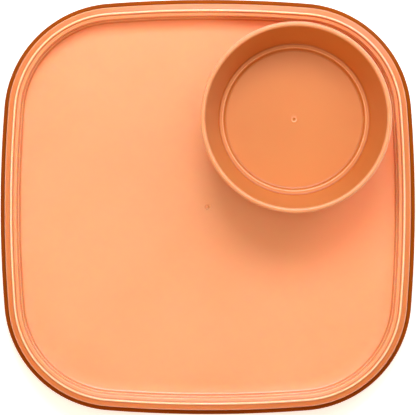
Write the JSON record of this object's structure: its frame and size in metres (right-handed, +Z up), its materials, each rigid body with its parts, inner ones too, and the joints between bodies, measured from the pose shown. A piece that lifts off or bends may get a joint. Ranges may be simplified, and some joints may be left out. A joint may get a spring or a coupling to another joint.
{
  "type": "suction bowl and tray",
  "caption": "Round baby bowl on a suction foot, standing in the corner of a rounded-square tray that has its own suction foot and soft edge band.",
  "frame": {"origin": "on the table, under the centre of the tray", "axes": "+Z up, +Y towards the tray's back, with the bowl in the corner at +X +Y"},
  "size_m": [0.25, 0.25, 0.06],
  "materials": {
    "tray_plastic": "light orange moulded plastic with a soft gloss",
    "bowl_plastic": "deeper orange moulded plastic, satin",
    "band_silicone": "burnt-orange silicone, satin",
    "foot_silicone": "burnt-orange silicone, smooth",
    "hub_plastic": "orange moulded plastic, satin"
  },
  "bodies": {
    "table_foot": {"tray_suction_cup": "foot_silicone", "tray_cup_hub": "hub_plastic"},
    "tray": {"tray_plate": "tray_plastic", "rim_band": "band_silicone", "corner_stud_1": "foot_silicone", "corner_stud_2": "foot_silicone", "corner_stud_3": "foot_silicone", "corner_stud_4": "foot_silicone"},
    "tray_tab": {"tray_pull_tab": "foot_silicone"},
    "bowl_foot": {"bowl_suction_cup": "foot_silicone", "bowl_cup_hub": "hub_plastic"},
    "bowl_tab": {"bowl_pull_tab": "foot_silicone"},
    "bowl": {"bowl_shell": "bowl_plastic"}
  },
  "joints": [
    {"name": "tray_lift", "type": "slide", "parent": "table_foot", "child": "tray", "axis": [0, 0, 1], "range_m": [0, 0.06]},
    {"name": "tray_tab_flex", "type": "hinge", "parent": "table_foot", "child": "tray_tab", "pos_m": [0, -0.072, 0.0004], "axis": [-1, 0, 0], "range_deg": [0, 12], "stiffness_Nm_per_rad": 0.02},
    {"name": "bowl_foot_lift", "type": "slide", "parent": "tray", "child": "bowl_foot", "axis": [0, 0, 1], "range_m": [0, 0.06]},
    {"name": "bowl_tab_flex", "type": "hinge", "parent": "bowl_foot", "child": "bowl_tab", "pos_m": [0.0513, 0.007, 0.0146], "axis": [-1, 0, 0], "range_deg": [0, 40], "stiffness_Nm_per_rad": 0.01},
    {"name": "bowl_lift", "type": "slide", "parent": "bowl_foot", "child": "bowl", "axis": [0, 0, 1], "range_m": [0, 0.06]}
  ]
}
